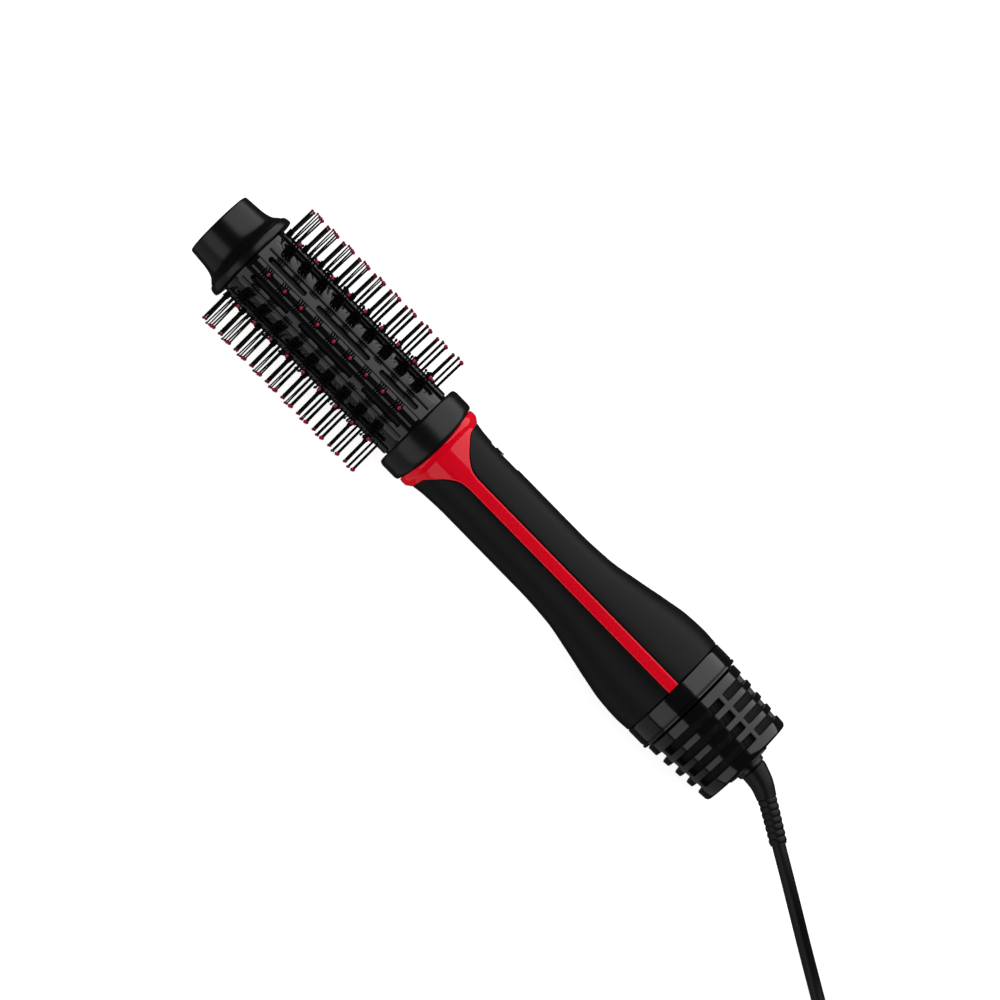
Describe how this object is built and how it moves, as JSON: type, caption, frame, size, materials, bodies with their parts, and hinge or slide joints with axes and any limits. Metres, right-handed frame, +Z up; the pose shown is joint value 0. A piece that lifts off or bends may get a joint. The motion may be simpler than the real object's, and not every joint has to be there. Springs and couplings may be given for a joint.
{
  "type": "hot-air styling brush",
  "caption": "Hot-air styling brush with a bristled round barrel, an air-inlet tail, a slide switch, and a swivelling power cord laid in a tied coil.",
  "frame": {"origin": "middle of the footprint of the brush itself, without its cord set, on the surface that it lies on", "axes": "+X along the brush towards the tail and the cord, +Y towards the front with the switch, +Z up, towards the side with the stripe; the axis falls by 2.2 degrees towards the tail because the brush lies on its last bristles and the lip of its tail ring"},
  "size_m": [0.57, 0.1475, 0.0761],
  "materials": {
    "matte_black": "satin black moulded plastic, roughness about 0.45",
    "gloss_black": "polished black plastic, roughness about 0.12",
    "gloss_red": "polished red plastic, roughness about 0.2",
    "bristle_black": "black nylon pins with dark red ball tips, roughness about 0.4",
    "grey_plastic": "plain moulded plastic inside the housing",
    "mica": "mica sheet",
    "board": "circuit board with solder mask",
    "steel": "plain steel",
    "brass": "plated brass",
    "mesh": "fine black wire mesh",
    "cord_black": "black PVC cord, roughness about 0.5"
  },
  "bodies": {
    "cord_set": {"strain_relief": "cord_black", "power_cord": "cord_black", "cord_coil": "cord_black", "cord_tie": "cord_black", "cord_lead": "cord_black", "plug_body": "cord_black", "plug_pin_left": "brass", "plug_pin_right": "brass", "contact_rings": "brass"},
    "brush": {"cool_tip": "matte_black", "tip_plate": "grey_plastic", "tip_screw": "steel", "barrel": "gloss_black", "bristle_row_01": "bristle_black", "bristle_row_02": "bristle_black", "bristle_row_03": "bristle_black", "bristle_row_04": "bristle_black", "bristle_row_05": "bristle_black", "bristle_row_06": "bristle_black", "bristle_row_07": "bristle_black", "bristle_row_08": "bristle_black", "bristle_row_09": "bristle_black", "bristle_row_10": "bristle_black", "air_guide": "matte_black", "heater_sleeve": "mica", "mica_cross": "mica", "heater_coil": "steel", "thermostat": "steel", "thermal_fuse": "grey_plastic", "collar": "matte_black", "neck_sleeve": "grey_plastic", "red_trim": "gloss_red", "front_shell": "matte_black", "rear_shell": "matte_black", "switch_bezel": "matte_black", "switch_body": "grey_plastic", "control_board": "board", "rectifier": "grey_plastic", "motor": "steel", "motor_holder": "grey_plastic", "fan_shroud": "grey_plastic", "tail_ring": "gloss_black", "inlet_grille": "gloss_black", "filter_mesh": "mesh", "end_plate": "matte_black", "swivel_cover": "matte_black", "swivel_retainer": "grey_plastic", "contact_block": "grey_plastic"},
    "switch": {"switch_thumb": "matte_black"},
    "fan_rotor": {"motor_shaft": "steel", "impeller": "grey_plastic"}
  },
  "joints": [
    {"name": "cord_swivel", "type": "hinge", "parent": "cord_set", "child": "brush", "pos_m": [0.17264, 0, 0.0274], "axis": [0.9992, 0, -0.0389], "continuous": true},
    {"name": "switch_slide", "type": "slide", "parent": "brush", "child": "switch", "axis": [0.9992, 0, -0.0389], "range_m": [0, 0.0084]},
    {"name": "fan_spin", "type": "hinge", "parent": "brush", "child": "fan_rotor", "pos_m": [0.09819, 0, 0.0303], "axis": [0.9992, 0, -0.0389], "continuous": true}
  ]
}
